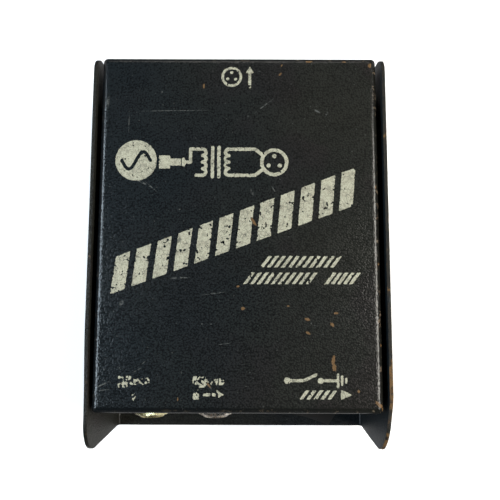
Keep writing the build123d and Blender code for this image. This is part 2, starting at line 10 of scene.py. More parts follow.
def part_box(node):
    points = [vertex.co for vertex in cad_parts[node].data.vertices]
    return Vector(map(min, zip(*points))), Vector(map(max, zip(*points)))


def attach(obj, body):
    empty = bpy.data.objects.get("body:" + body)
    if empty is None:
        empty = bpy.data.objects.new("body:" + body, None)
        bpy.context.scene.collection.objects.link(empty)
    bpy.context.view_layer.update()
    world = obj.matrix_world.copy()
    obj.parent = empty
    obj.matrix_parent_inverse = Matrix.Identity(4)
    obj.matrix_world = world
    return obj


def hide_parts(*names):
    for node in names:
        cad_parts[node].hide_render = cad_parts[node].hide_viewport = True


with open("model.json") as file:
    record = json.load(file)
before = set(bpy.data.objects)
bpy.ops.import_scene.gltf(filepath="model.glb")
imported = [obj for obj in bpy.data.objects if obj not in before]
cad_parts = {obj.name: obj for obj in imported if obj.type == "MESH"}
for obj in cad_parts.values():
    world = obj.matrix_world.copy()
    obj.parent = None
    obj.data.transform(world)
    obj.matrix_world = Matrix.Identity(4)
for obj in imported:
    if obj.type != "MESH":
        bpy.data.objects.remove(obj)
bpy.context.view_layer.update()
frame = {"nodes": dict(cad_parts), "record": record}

# A worn passive direct injection box.  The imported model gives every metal, plastic and
# rubber part.  This script gives them their finishes, rebuilds the bent base with its
# knocked ears, prints the worn cream graphics on the cover, and sets the camera, the
# lights and the floor.  Places and sizes are in millimetres in the part's own frame.

MM = 0.001
cover_low, cover_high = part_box("top_cover")
tray_low, tray_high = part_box("base_tray")
TOP = cover_high.z / MM
FRONT = cover_low.y / MM
EAR_TIP = tray_low.y / MM
TRAY_REAR = tray_high.y / MM
TRAY_BOTTOM = tray_low.z / MM
HALF_TRAY = tray_high.x / MM

# The bent base.
SHEET = 1.2
BEND = 2.4
EAR_CORNER = 10.5
REAR_CORNER = 5.5
EAR_BEND_START = -51.0
SHEARED_EDGE = 0.5
LEFT_EAR_KNOCK, LEFT_REAR_SPREAD = 0.62, 0.14
RIGHT_EAR_KNOCK, RIGHT_SPREAD = 2.2, 0.3
CORNER_STEPS, ROW_STEPS, PLATE_STEPS, BEND_STEPS = 12, 40, 20, 8

# Enamel and ink.
ENAMEL_GRAIN = 0.62
INK_HEIGHT = 0.03
INK_THICKNESS = 0.04
INK_CELL = 0.25

# The camera stands this far from the middle of the cover's front top edge.
CAMERA_OFFSET = (4.035, 35.95, 168.65)
CAMERA_TILT, CAMERA_TURN = 6.115, 0.178
CAMERA_LENS = 36.216
scene = bpy.context.scene


# ---------------------------------------------------------------- camera, light and floor
def place_camera():
    """Camera over the box, a little in front of its middle and tipped towards the rear."""
    data = bpy.data.cameras.new("camera")
    data.sensor_width = 36.0
    data.lens = CAMERA_LENS
    data.clip_start = 0.01
    camera = bpy.data.objects.new("camera", data)
    camera.location = (Vector((0, FRONT, TOP)) + Vector(CAMERA_OFFSET)) * MM
    camera.rotation_euler = (math.radians(CAMERA_TILT), 0, math.radians(CAMERA_TURN))
    scene.collection.objects.link(camera)
    scene.camera = camera


def area_light(name, azimuth, elevation, distance, width, height, power, colour):
    """Rectangular light aimed at the box, with its distance and size in metres and its angles in
    degrees; azimuth 0 is at the front and 90 at the right."""
    turn, lift = math.radians(azimuth), math.radians(elevation)
    out = Vector((math.sin(turn) * math.cos(lift), -math.cos(turn) * math.cos(lift), math.sin(lift)))
    light = bpy.data.lights.new(name, "AREA")
    light.shape = "RECTANGLE"
    light.size, light.size_y = width, height
    light.energy = power
    light.color = colour
    holder = bpy.data.objects.new(name, light)
    holder.location = out * distance
    holder.rotation_euler = (-out).to_track_quat("-Z", "Y").to_euler()
    scene.collection.objects.link(holder)


def sky_shade(tree, height):
    """Pale below and at the horizon, dark overhead."""
    ramp = tree.add("ShaderNodeValToRGB", {"Fac": tree.remap(height, -0.30, 0.70)})
    low, high = ramp.color_ramp.elements
    low.position, low.color = 0.20, (0.80, 0.80, 0.80, 1)
    high.position, high.color = 0.72, (0.09, 0.09, 0.095, 1)
    ramp.color_ramp.elements.new(0.35).color = (0.70, 0.70, 0.70, 1)
    return ramp.outputs["Color"]


def surround():
    """Plain surroundings, strongest at the sides and below, and a pale backdrop behind them
    that only the camera sees."""
    world = bpy.data.worlds.new("studio")
    scene.world = world
    world.use_nodes = True
    tree = Tree(world.node_tree)
    direction = tree.add("ShaderNodeTexCoord", {}).outputs["Generated"]
    split = tree.add("ShaderNodeSeparateXYZ", {0: direction})
    sides = tree.remap(tree.math("ABSOLUTE", split.outputs["X"]), 0.25, 0.85, 0.16, 1.0)
    below = tree.remap(split.outputs["Z"], -0.35, -0.80, 0.0, 0.60)
    studio = tree.nodes["Background"]
    tree.links.new(sky_shade(tree, split.outputs["Z"]), studio.inputs["Color"])
    tree.links.new(tree.math("MAXIMUM", sides, below), studio.inputs["Strength"])
    backdrop = tree.add("ShaderNodeBackground", {"Color": (0.88, 0.88, 0.88, 1)})
    camera_ray = tree.add("ShaderNodeLightPath", {}).outputs["Is Camera Ray"]
    seen = tree.add("ShaderNodeMixShader", {0: camera_ray, 1: studio.outputs[0], 2: backdrop.outputs[0]})
    tree.links.new(seen.outputs[0], tree.nodes["World Output"].inputs["Surface"])


def light_the_studio():
    """Cool window light from the left, a warm lamp on the right and a weak light at the rear."""
    area_light("window_left", -90, 39, 0.70, 0.56, 0.17, 5.0, (0.74, 0.88, 1.0))
    area_light("lamp_right", 87, 40, 0.70, 0.56, 0.19, 6.0, (1.0, 0.96, 0.88))
    area_light("fill_rear", 180, 32, 0.90, 0.50, 0.20, 1.0, (1.0, 0.97, 0.92))
    surround()


def lay_floor():
    """Plain pale floor under the feet, which gives off more light further from the box."""
    bpy.ops.mesh.primitive_plane_add(size=8)
    floor = bpy.context.object
    floor.name = "floor"
    pale = (0.94, 0.94, 0.94, 1)
    look = Recipe("floor_white", {"Roughness": 0.8, "Specular IOR Level": 0.2,
                                  "Base Color": pale, "Emission Color": pale})
    metres = look.add("ShaderNodeVectorMath", {0: look.place}, operation="LENGTH").outputs["Value"]
    look.feed("Emission Strength", look.range(look.step(metres, 0.15, 0.80), 0.42, 0.90))
    floor.data.materials.append(look.material)
    floor.visible_glossy = False


# ---------------------------------------------------------------- materials
class Tree:
    """A node tree that is built up step by step."""

    def __init__(self, tree):
        self.nodes = tree.nodes
        self.links = tree.links

    def add(self, kind, inputs, **settings):
        """New node with its inputs linked or set."""
        node = self.nodes.new(kind)
        for key, value in settings.items():
            setattr(node, key, value)
        for key, value in inputs.items():
            if isinstance(value, bpy.types.NodeSocket):
                self.links.new(value, node.inputs[key])
            else:
                node.inputs[key].default_value = value
        return node

    def math(self, operation, first, second=0.0):
        return self.add("ShaderNodeMath", {0: first, 1: second}, operation=operation).outputs[0]

    def remap(self, value, start, end, low=0.0, high=1.0):
        """Goes evenly from low at start to high at end and stays level beyond them."""
        inputs = {"Value": value, "From Min": start, "From Max": end, "To Min": low, "To Max": high}
        return self.add("ShaderNodeMapRange", inputs).outputs[0]

    def range(self, value, low, high):
        """Stretches 0 to 1 to low to high."""
        return self.remap(value, 0.0, 1.0, low, high)

    def step(self, value, start, end):
        """0 at start, 1 at end and smooth between."""
        inputs = {"Value": value, "From Min": start, "From Max": end}
        return self.add("ShaderNodeMapRange", inputs, interpolation_type="SMOOTHSTEP").outputs[0]

    def mix(self, factor, first, second):
        node = self.add("ShaderNodeMix", {0: factor, 6: first, 7: second}, data_type="RGBA")
        return node.outputs[2]


class Recipe(Tree):
    """One node material; sizes are in millimetres."""

    def __init__(self, name, constants):
        self.material = bpy.data.materials.new(name)
        self.material.use_nodes = True
        super().__init__(self.material.node_tree)
        self.shader = self.nodes["Principled BSDF"]
        for socket, value in constants.items():
            self.shader.inputs[socket].default_value = value
        self.place = self.add("ShaderNodeTexCoord", {}).outputs["Object"]

    def grain(self, size, detail=2.0, stretch=(1, 1, 1), rough=0.5):
        """Noise from 0 to 1 whose features are about size across."""
        scale = [1 / (size * MM * s) for s in stretch]
        spread = self.add("ShaderNodeMapping", {"Vector": self.place, "Scale": scale}).outputs[0]
        inputs = {"Vector": spread, "Scale": 1.0, "Detail": detail, "Roughness": rough}
        return self.add("ShaderNodeTexNoise", inputs).outputs[0]

    def pebbles(self, size):
        """Round grains of about that size, from near 0 between them to 1 on top."""
        inputs = {"Vector": self.place, "Scale": 1 / (size * MM)}
        cells = self.add("ShaderNodeTexVoronoi", inputs, feature="F1").outputs["Distance"]
        return self.math("SUBTRACT", 1.0, cells)

    def axis(self, letter):
        """One coordinate in millimetres."""
        split = self.add("ShaderNodeSeparateXYZ", {0: self.place})
        return self.math("MULTIPLY", split.outputs[letter], 1 / MM)

    def edge(self):
        """1 on flat faces that lie square to the axes, up to 1.7 where they round a corner."""
        normal = self.add("ShaderNodeNewGeometry", {}).outputs["Normal"]
        size = self.add("ShaderNodeVectorMath", {0: normal}, operation="ABSOLUTE").outputs[0]
        total = self.add("ShaderNodeVectorMath", {0: size, 1: (1, 1, 1)}, operation="DOT_PRODUCT")
        return total.outputs["Value"]

    def spots(self, marks, ragged, size):
        """How far outside the nearest of the oval marks a point lies, in mark radii, roughened."""
        nearest = None
        for x, y, length, width, angle in marks:
            inputs = {"Vector": self.place, "Location": Vector((x, y, TOP)) * MM,
                      "Rotation": (0, 0, math.radians(angle)),
                      "Scale": Vector((length / 2, width / 2, MARK_DEPTH)) * MM}
            local = self.add("ShaderNodeMapping", inputs, vector_type="TEXTURE").outputs[0]
            away = self.add("ShaderNodeVectorMath", {0: local}, operation="LENGTH").outputs["Value"]
            nearest = away if nearest is None else self.math("MINIMUM", nearest, away)
        wobble = self.range(self.grain(size, 3.0), -ragged, ragged)
        return self.math("ADD", nearest, wobble)

    def paint(self, colour):
        self.feed("Base Color", colour)

    def feed(self, socket, value):
        target = self.shader.inputs[socket]
        if isinstance(value, bpy.types.NodeSocket):
            self.links.new(value, target)
        else:
            target.default_value = value

    def bump(self, *layers):
        """Stacks (height, depth in millimetres) layers."""
        normal = None
        for height, depth in layers:
            inputs = {"Height": height, "Strength": 1.0, "Distance": depth * MM}
            if normal is not None:
                inputs["Normal"] = normal
            normal = self.add("ShaderNodeBump", inputs).outputs[0]
        self.links.new(normal, self.shader.inputs["Normal"])


# How far below the cover's top its marks still colour the bends.
MARK_DEPTH = 6
# Bare and rusted spots on the cover: x, y, length, width, angle.
CHIPS = [
    (-12.3, 56.2, 1.6, 0.6, 85), (14.3, 60.6, 1.3, 0.6, 50), (14.9, 63.8, 0.9, 0.5, 60),
    (24.4, 65.3, 2.4, 0.7, 3), (36.8, 65.2, 1.4, 0.5, 0), (45.8, 63.9, 1.4, 1.1, 80),
    (1.7, -20.9, 1.2, 1.0, 0), (16.8, -20.1, 0.8, 0.5, 0), (23.1, -24.5, 1.7, 1.0, -20),
    (31.4, -26.2, 1.6, 0.9, -50), (32.7, -22.4, 1.7, 0.7, 5), (23.4, -29.0, 1.7, 0.7, -30),
    (0.0, -13.6, 0.9, 0.6, 0), (5.1, 8.4, 3.0, 0.9, -60), (31.6, -37.8, 2.9, 1.1, 80),
    (31.9, -40.2, 2.6, 1.4, 95), (39.7, -47.8, 1.1, 0.7, 80), (-9.4, -46.0, 2.4, 0.6, -50),
    (46.3, -52.0, 3.0, 1.1, -42), (47.7, -53.7, 1.5, 0.9, -60), (-19.5, -50.4, 1.2, 0.4, 90),
    (46.9, 20.5, 1.1, 0.5, 90), (47.3, -6.0, 0.9, 0.5, 90), (47.6, -33.0, 1.2, 0.5, 90),
]
# Pale scratches, scuffs and nicks on the cover.
SCRATCHES = [
    (8.8, 49.2, 9.4, 0.45, 39), (-22.6, 47.3, 28.0, 0.32, 1), (-38.1, 42.4, 8.0, 0.32, 90),
    (27.0, 47.3, 3.4, 0.8, -28), (30.4, 46.2, 2.2, 0.7, 60), (4.7, 18.4, 2.8, 0.9, -65),
    (-8.3, -16.0, 9.0, 0.45, 7), (-19.5, -10.8, 7.4, 0.7, 3), (-38.8, -19.2, 2.2, 1.5, 60),
    (-32.6, 21.6, 9.0, 0.7, -26), (-30.0, 20.4, 6.0, 0.5, -40), (-44.2, -45.8, 6.5, 0.6, 25),
    (-43.6, -47.6, 4.0, 0.5, 8), (-33.0, -41.2, 4.0, 0.4, 30), (-30.5, -38.4, 3.2, 0.4, 40),
    (-11.9, -26.1, 0.7, 0.5, 0), (-8.9, -26.1, 0.7, 0.5, 0), (0.1, -32.9, 0.8, 0.6, 0),
    (-4.5, -32.6, 5.0, 0.3, 7), (24.5, -25.8, 1.0, 0.7, 60), (-26.9, 54.0, 1.0, 0.6, 70),
    (-9.1, -46.5, 2.6, 0.5, -55), (-1.5, 25.0, 1.2, 0.6, 70), (-39.0, -40.5, 0.9, 0.7, 0),
    (18.0, 57.0, 0.8, 0.5, 30), (39.0, 33.0, 0.7, 0.5, 0), (-20.0, 12.5, 0.8, 0.5, 0),
    (-45.8, 50.0, 5.6, 1.5, 80), (12.0, 19.5, 3.4, 0.4, -60), (42.0, 12.0, 0.7, 0.5, 0),
]
# Painted light: cool, darker copies of the enamel's colour for the side lit by the cool light, and warm,
# brighter ones for the side lit by the warm lamp, with a brownish stain among the warm pale tones.
COOL_LIT_DARK, COOL_LIT_PALE = (0.0043, 0.0058, 0.0071, 1), (0.0109, 0.0148, 0.0173, 1)
WARM_LIT_DARK, WARM_LIT_PALE = (0.0102, 0.0103, 0.0086, 1), (0.0227, 0.0229, 0.0189, 1)
BROWN_WARM_LIT_PALE = (0.0229, 0.0199, 0.0184, 1)
DUST = (0.080, 0.083, 0.078, 1)
SCUFF = (0.120, 0.125, 0.118, 1)
RUST = (0.098, 0.044, 0.014, 1)
TAN = (0.166, 0.102, 0.042, 1)
BARE = (0.14, 0.125, 0.095, 1)


def painted_steel(name, worn_edge, extra_wear, gloss, low_rough, warm_lit_side):
    """Fine-grained black enamel with painted light: warmer and brighter towards the warm side, given as 1
    for the right and -1 for the left, cooler and darker on the other, and painted shade on the bends;
    worn_edge and extra_wear build the part's own damage."""
    look = Recipe(name, {"Specular IOR Level": gloss})
    # Painted light: the tone drifts at random and also across the width, from the cool, darker copies on
    # one side to the warm, brighter ones on the warm side.
    drift_and_side_light = look.math("ADD", look.range(look.grain(38, 2.0), -0.35, 0.35),
                      look.math("MULTIPLY", look.axis("X"), 0.5 * warm_lit_side / HALF_TRAY))
    warm = look.step(drift_and_side_light, -0.6, 0.6)
    # The bends and the front right corner are rubbed smoother, and the grain fades to the rear.
    calm = look.range(look.step(look.axis("Y"), -20, 50), 0.0, 0.30)
    pebble = look.pebbles(ENAMEL_GRAIN)
    pebble = look.math("ADD", pebble, look.math("MULTIPLY", calm, look.math("SUBTRACT", 0.58, pebble)))
    # The bends are smoother and shinier, and their colour is darkened as painted shade.
    bend_polish_and_shade = look.step(look.edge(), 1.05, 1.25)
    handled = look.math("MULTIPLY", look.step(look.axis("X"), 10, 40), look.step(look.axis("Y"), -10, -40))
    smooth = look.math("MAXIMUM", bend_polish_and_shade, look.math("MULTIPLY", handled, 0.25))
    # Colour: pale tops of the grains over dark hollows, with the pale tops left off the bends as painted
    # shade, on the cool and warm copies of painted light, then dust and damage.
    mottle = look.math("ADD", pebble, look.range(look.grain(5.5, 3.0), -0.14, 0.14))
    pale = look.math("MULTIPLY", look.step(mottle, 0.26, 0.70), look.range(bend_polish_and_shade, 1.0, 0.0))
    warm_lit_pale = look.mix(look.step(look.grain(26, 2.0), 0.48, 0.60), WARM_LIT_PALE, BROWN_WARM_LIT_PALE)
    tone = look.mix(pale, look.mix(warm, COOL_LIT_DARK, WARM_LIT_DARK), look.mix(warm, COOL_LIT_PALE, warm_lit_pale))
    dust = look.step(look.grain(0.9, 2.0), 0.70, 0.76)
    tone = look.mix(look.math("MULTIPLY", dust, 0.5), tone, DUST)
    damage, colour = worn_edge(look)
    tone = look.mix(damage, tone, colour)
    if extra_wear:
        tone, damage = extra_wear(look, tone, damage)
    look.paint(tone)
    rough = look.math("ADD", look.range(look.grain(7, 3.0), low_rough, low_rough + 0.09),
                      look.math("MULTIPLY", damage, 0.3))
    look.feed("Roughness", look.math("SUBTRACT", rough, look.math("MULTIPLY", bend_polish_and_shade, 0.06)))
    relief = look.math("MULTIPLY", pebble, look.range(smooth, 1.0, 0.4))
    look.bump((relief, 0.15), (look.grain(2.4, 2.0), 0.04))
    return look.material


def cover_edges(look):
    """Bends rubbed to bare metal and rust, most on the right."""
    bend = look.step(look.edge(), 1.20, 1.40)
    patch = look.step(look.grain(2.2, 5.0, rough=0.65), 0.56, 0.66)
    side = look.step(look.axis("X"), -30, 60)
    worn = look.math("MULTIPLY", look.math("MULTIPLY", bend, patch), look.range(side, 0.12, 1.0))
    colour = look.mix(look.grain(1.1, 2.0), RUST, BARE)
    return worn, colour


def cover_marks(look, tone, damage):
    """Chips through the paint, and pale scratches on it."""
    chip = look.step(look.spots(CHIPS, 0.75, 0.7), 1.15, 0.85)
    tone = look.mix(chip, tone, look.mix(look.grain(0.8, 2.0), RUST, TAN))
    streak = look.step(look.spots(SCRATCHES, 0.9, 0.9), 1.1, 0.6)
    streak = look.math("MULTIPLY", streak, look.step(look.grain(0.9, 3.0), 0.38, 0.62))
    tone = look.mix(look.math("MULTIPLY", streak, 0.8), tone, SCUFF)
    return tone, look.math("MAXIMUM", damage, chip)


def tray_edges(look):
    """Cut edges of the side plates rubbed bare, rusty on the right plate."""
    normal = look.add("ShaderNodeNewGeometry", {}).outputs["Normal"]
    sideways = look.add("ShaderNodeSeparateXYZ", {0: normal}).outputs["X"]
    cut = look.step(look.math("ABSOLUTE", sideways), 0.75, 0.35)
    high = look.step(look.axis("Z"), 12, 20)
    right = look.step(look.axis("X"), -1, 1)
    flaking = look.math("ADD", look.grain(1.7, 5.0, rough=0.6), look.range(right, -0.14, 0.08))
    patch = look.step(flaking, 0.42, 0.60)
    worn = look.math("MULTIPLY", look.math("MULTIPLY", cut, high), patch)
    fine = look.grain(0.9, 3.0)
    left_tone = look.mix(fine, (0.008, 0.010, 0.010, 1), (0.030, 0.031, 0.030, 1))
    right_tone = look.mix(fine, (0.010, 0.009, 0.007, 1), (0.027, 0.024, 0.019, 1))
    tone = look.mix(right, left_tone, right_tone)
    forward = look.math("MULTIPLY", look.step(look.axis("Y"), -20, -60), look.range(right, 0.06, 0.20))
    rusty = look.step(look.math("ADD", look.grain(3.5, 4.0), forward), 0.60, 0.68)
    return worn, look.mix(rusty, tone, look.mix(fine, RUST, TAN))


def metal(name, colour, tarnish, roughness, brush=(1, 1, 1)):
    """Plated or bare metal with dull patches and a fine grain that brush stretches along each axis."""
    look = Recipe(name, {"Metallic": 1.0})
    dull = look.step(look.grain(2.4, 5.0, rough=0.62), 0.52, 0.80)
    look.paint(look.mix(dull, colour, tarnish))
    fine = look.grain(0.18, 3.0, stretch=brush)
    rough = look.math("ADD", look.range(fine, roughness * 0.75, roughness * 1.25),
                      look.math("MULTIPLY", dull, 0.22))
    look.feed("Roughness", rough)
    look.bump((fine, 0.006), (look.grain(1.3, 3.0), 0.01))
    return look.material


def tarnished_nickel():
    """Jack hardware: yellowed plate on the left jack, brown and duller on the other."""
    look = Recipe("nickel_plate", {"Metallic": 1.0})
    right = look.step(look.axis("X"), -22, -18)
    clean = look.mix(right, (0.95, 0.87, 0.52, 1), (0.96, 0.90, 0.79, 1))
    stain = look.mix(right, (0.32, 0.26, 0.12, 1), (0.30, 0.22, 0.16, 1))
    blotch = look.math("ADD", look.grain(1.3, 5.0, rough=0.65), look.range(right, 0.0, 0.02))
    dull = look.step(blotch, 0.46, 0.62)
    look.paint(look.mix(dull, clean, stain))
    look.feed("Roughness", look.math("ADD", look.range(look.grain(0.3, 3.0), 0.16, 0.26),
                                     look.math("MULTIPLY", dull, 0.25)))
    look.bump((look.grain(0.2, 3.0), 0.006), (dull, 0.01))
    return look.material


def plastic(name, colour, roughness, scuff):
    """Moulded plastic with a faint grain and mottled gloss; scuff is how pale its edges are rubbed."""
    look = Recipe(name, {"Specular IOR Level": 0.5})
    pale = tuple(min(1.0, 1.7 * c + 0.02) for c in colour[:3]) + (1,)
    corner = look.step(look.edge(), 1.12, 1.5)
    rubbed = look.math("MULTIPLY", corner, look.step(look.grain(1.2, 4.0), 0.45, 0.7))
    tone = look.mix(look.range(look.grain(6, 3.0), 0.0, 0.25), colour, pale)
    look.paint(look.mix(look.math("MULTIPLY", rubbed, scuff), tone, pale))
    look.feed("Roughness", look.range(look.grain(2.5, 4.0), roughness * 0.8, roughness * 1.25))
    look.bump((look.grain(0.22, 2.0), 0.01))
    return look.material


def rubber():
    """Matte foot rubber with patches of dust."""
    look = Recipe("foot_rubber", {"Specular IOR Level": 0.3})
    dust = look.step(look.grain(1.4, 5.0, rough=0.65), 0.48, 0.75)
    cover = look.math("MULTIPLY", dust, 0.5)
    look.paint(look.mix(cover, (0.018, 0.018, 0.018, 1), (0.09, 0.085, 0.075, 1)))
    look.feed("Roughness", look.range(dust, 0.62, 0.9))
    look.bump((look.grain(0.3, 3.0), 0.03))
    return look.material


def phenolic():
    """Brown paper laminate with fibres in its plane."""
    look = Recipe("phenolic_board", {"Specular IOR Level": 0.4, "Roughness": 0.45})
    fibre = look.grain(0.5, 4.0, stretch=(4, 1, 0.4))
    look.paint(look.mix(fibre, (0.20, 0.085, 0.030, 1), (0.40, 0.22, 0.10, 1)))
    look.bump((fibre, 0.015))
    return look.material


def banded(name, axis, pitch, dark, light, constants, depth):
    """Layers or turns stacked along one axis, such as laminations or a winding."""
    look = Recipe(name, constants)
    angle = look.math("MULTIPLY", look.axis(axis), 2 * math.pi / pitch)
    wander = look.math("ADD", angle, look.range(look.grain(4, 3.0), -1.5, 1.5))
    band = look.range(look.math("SINE", wander), 0.5, 1.0)
    look.paint(look.mix(look.math("MULTIPLY", band, look.grain(1.5, 3.0)), dark, light))
    look.bump((band, depth))
    return look.material


def clear_tape():
    """Glossy polyester tape with wrinkles."""
    look = Recipe("wrap_tape", {"Specular IOR Level": 0.55, "Coat Weight": 0.3, "Coat Roughness": 0.12})
    fold = look.grain(3.2, 3.0, stretch=(0.5, 0.5, 2.5))
    look.paint(look.mix(fold, (0.42, 0.30, 0.05, 1), (0.72, 0.60, 0.20, 1)))
    look.feed("Roughness", look.range(fold, 0.18, 0.40))
    look.bump((fold, 0.12))
    return look.material


def cream_ink():
    """Screen-printed cream ink, cracked, pitted and stained, with the enamel showing through."""
    look = Recipe("cream_ink", {"Specular IOR Level": 0.35, "Roughness": 0.6})
    fine = look.grain(0.42, 3.0, rough=0.6)
    cream = look.mix(look.grain(2.6, 4.0), (0.325, 0.305, 0.228, 1), (0.56, 0.545, 0.41, 1))
    pits = look.step(fine, 0.50, 0.66)
    stain = look.step(look.grain(1.0, 4.0, rough=0.7), 0.47, 0.64)
    cells = look.add("ShaderNodeTexVoronoi", {"Vector": look.place, "Scale": 1 / (1.5 * MM)},
                     feature="DISTANCE_TO_EDGE").outputs["Distance"]
    crack = look.math("MULTIPLY", look.step(cells, 0.07, 0.02), look.step(look.grain(3.0, 3.0), 0.46, 0.58))
    gone = look.math("MAXIMUM", look.math("MULTIPLY", pits, 0.62), look.math("MULTIPLY", stain, 0.45))
    gone = look.math("MAXIMUM", gone, look.math("MULTIPLY", crack, 0.75))
    look.paint(look.mix(gone, cream, (0.030, 0.032, 0.028, 1)))
    look.bump((fine, 0.05))
    return look.material


# Slots of plain metal: colour, tarnish, roughness and, for drawn stock, the stretch of its grain.
METALS = {
    "zinc_plated_steel": ((0.62, 0.63, 0.64, 1), (0.36, 0.35, 0.33, 1), 0.30),
    "black_screw_steel": ((0.030, 0.030, 0.032, 1), (0.10, 0.08, 0.06, 1), 0.42),
    "jack_frame_plate": ((0.62, 0.60, 0.54, 1), (0.36, 0.32, 0.25, 1), 0.32),
    "spring_alloy": ((0.70, 0.66, 0.56, 1), (0.42, 0.36, 0.26, 1), 0.28, (0.3, 6, 0.3)),
    "contact_brass": ((0.78, 0.58, 0.28, 1), (0.38, 0.24, 0.10, 1), 0.26),
    "spring_steel": ((0.58, 0.58, 0.56, 1), (0.30, 0.28, 0.26, 1), 0.22),
    "satin_nickel_shell": ((0.50, 0.48, 0.44, 1), (0.30, 0.27, 0.22, 1), 0.36),
    "pin_silver": ((0.80, 0.78, 0.72, 1), (0.46, 0.38, 0.26, 1), 0.20),
}
# Slots of moulded plastic: colour, roughness and how much the rubbed corners pale.
PLASTICS = {
    "black_nylon": ((0.014, 0.014, 0.015, 1), 0.36, 0.25),
    "white_acetal": ((0.74, 0.73, 0.67, 1), 0.38, 0.1),
    "insert_plastic": ((0.018, 0.018, 0.020, 1), 0.30, 0.25),
    "wire_red": ((0.48, 0.020, 0.014, 1), 0.32, 0.25),
    "wire_green": ((0.015, 0.20, 0.055, 1), 0.32, 0.25),
    "wire_black": ((0.014, 0.014, 0.014, 1), 0.32, 0.25),
    "wire_white": ((0.72, 0.71, 0.66, 1), 0.32, 0.1),
    "wire_blue": ((0.020, 0.07, 0.36, 1), 0.32, 0.25),
}


def finishes():
    """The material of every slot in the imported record, apart from the case's enamel."""
    made = {name: metal(name, *values) for name, values in METALS.items()}
    made |= {name: plastic(name, *values) for name, values in PLASTICS.items()}
    made["nickel_plate"] = tarnished_nickel()
    made["foot_rubber"] = rubber()
    made["phenolic_board"] = phenolic()
    made["wrap_tape"] = clear_tape()
    made["core_steel"] = banded("core_steel", "Y", 0.5, (0.10, 0.095, 0.09, 1), (0.34, 0.33, 0.31, 1),
                                {"Metallic": 0.8, "Roughness": 0.45}, 0.05)
    made["enamelled_copper"] = banded("enamelled_copper", "Z", 0.35, (0.22, 0.06, 0.02, 1),
                                      (0.80, 0.36, 0.14, 1), {"Metallic": 0.9, "Roughness": 0.28}, 0.08)
    return made


# ---------------------------------------------------------------- the bent base
def ease(value):
    """0 at 0 and 1 at 1, level at both ends."""
    value = min(1.0, max(0.0, value))
    return value * value * (3 - 2 * value)


def knock(side, y, z):
    """How far a side plate's point stands inwards of true after years of use.  The left plate
    leans in towards its ear and out towards the rear; the right one leans out, with its ear in."""
    rise = max(0.0, (z - TRAY_BOTTOM - BEND) / (TOP - TRAY_BOTTOM - BEND))
    if side < 0:
        return (LEFT_EAR_KNOCK * ease((-26 - y) / 32) - LEFT_REAR_SPREAD * ease((y - 10) / 40)) * rise
    forward = max(0.0, (EAR_BEND_START - y) / (EAR_BEND_START - EAR_TIP))
    return RIGHT_EAR_KNOCK * forward ** 0.9 * rise ** 0.8 - RIGHT_SPREAD * rise


def quarter_turn(steps):
    """Angles from 0 to a right angle."""
    return [math.radians(90 * step / steps) for step in range(steps + 1)]


def tray_rows():
    """(y, height of the side plates there) from the ears' front edge to the rear."""
    rows = [(EAR_TIP + EAR_CORNER * (1 - math.cos(turn)), TOP - EAR_CORNER * (1 - math.sin(turn)))
            for turn in quarter_turn(CORNER_STEPS)]
    first, last = EAR_TIP + EAR_CORNER, TRAY_REAR - REAR_CORNER
    rows += [(first + (last - first) * step / ROW_STEPS, TOP) for step in range(1, ROW_STEPS)]
    rows += [(last + REAR_CORNER * math.sin(turn), TOP - REAR_CORNER * (1 - math.cos(turn)))
             for turn in quarter_turn(CORNER_STEPS)]
    return rows


def tray_section(y, height):
    """Outer line of the bent sheet at one row: left plate down, bend, floor, bend, right plate up."""
    low = TRAY_BOTTOM + BEND
    half = [(HALF_TRAY, height + (low - height) * step / PLATE_STEPS) for step in range(PLATE_STEPS + 1)]
    half += [(HALF_TRAY - BEND * (1 - math.cos(turn)), low - BEND * math.sin(turn))
             for turn in quarter_turn(BEND_STEPS)[1:]]
    half += [(x, TRAY_BOTTOM) for x in (40, 32, 24, 16, 8)]
    left = [(-x + knock(-1, y, z), z) for x, z in half]
    right = [(x - knock(1, y, z), z) for x, z in reversed(half)]
    return left + [(0, TRAY_BOTTOM)] + right


def knocked_tray(enamel):
    """The base as it is after years of use: ears knocked inwards, sheared edges soft with paint."""
    points, faces = [], []
    for y, height in tray_rows():
        points.append([(x * MM, y * MM, z * MM) for x, z in tray_section(y, height)])
    across = len(points[0])
    for row in range(len(points) - 1):
        for column in range(across - 1):
            first = row * across + column
            faces.append((first, first + across, first + across + 1, first + 1))
    mesh = bpy.data.meshes.new("tray_shell")
    mesh.from_pydata([p for row in points for p in row], [], faces)
    mesh.shade_smooth()
    mesh.materials.append(enamel)
    piece = bpy.data.objects.new("tray_shell", mesh)
    scene.collection.objects.link(piece)
    solid = piece.modifiers.new("sheet", "SOLIDIFY")
    solid.thickness = SHEET * MM
    solid.offset = -1.0
    solid.use_even_offset = True
    round_off = piece.modifiers.new("soft_edges", "BEVEL")
    round_off.width = SHEARED_EDGE * MM
    round_off.segments = 4
    round_off.limit_method = "ANGLE"
    round_off.angle_limit = math.radians(50)
    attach(piece, "case")
    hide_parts("base_tray")


def dress_the_parts():
    """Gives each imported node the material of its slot, or its own."""
    by_slot = finishes()
    # Painted light on the tray: its left plate gets the warm, brighter copies and its right plate the cool,
    # darker ones, as each inner face looks across to the lamp on the other side.
    tray_enamel = painted_steel("tray_enamel", tray_edges, None,
                                gloss=0.20, low_rough=0.36, warm_lit_side=-1)
    # Painted light on the cover: warm and brighter on the right, cool and darker on the left.
    cover_enamel = painted_steel("cover_enamel", cover_edges, cover_marks,
                                 gloss=0.30, low_rough=0.19, warm_lit_side=1)
    own = {"top_cover": cover_enamel, "base_tray": tray_enamel,
           "switch_rocker": plastic("rocker_nylon", (0.010, 0.010, 0.010, 1), 0.30, 0.0)}
    knocked_tray(tray_enamel)
    for part in frame["record"]["subparts"]:
        node = frame["nodes"][part["node"]]
        node.data.materials.clear()
        node.data.materials.append(own.get(part["node"]) or by_slot[part["material_slot"]])


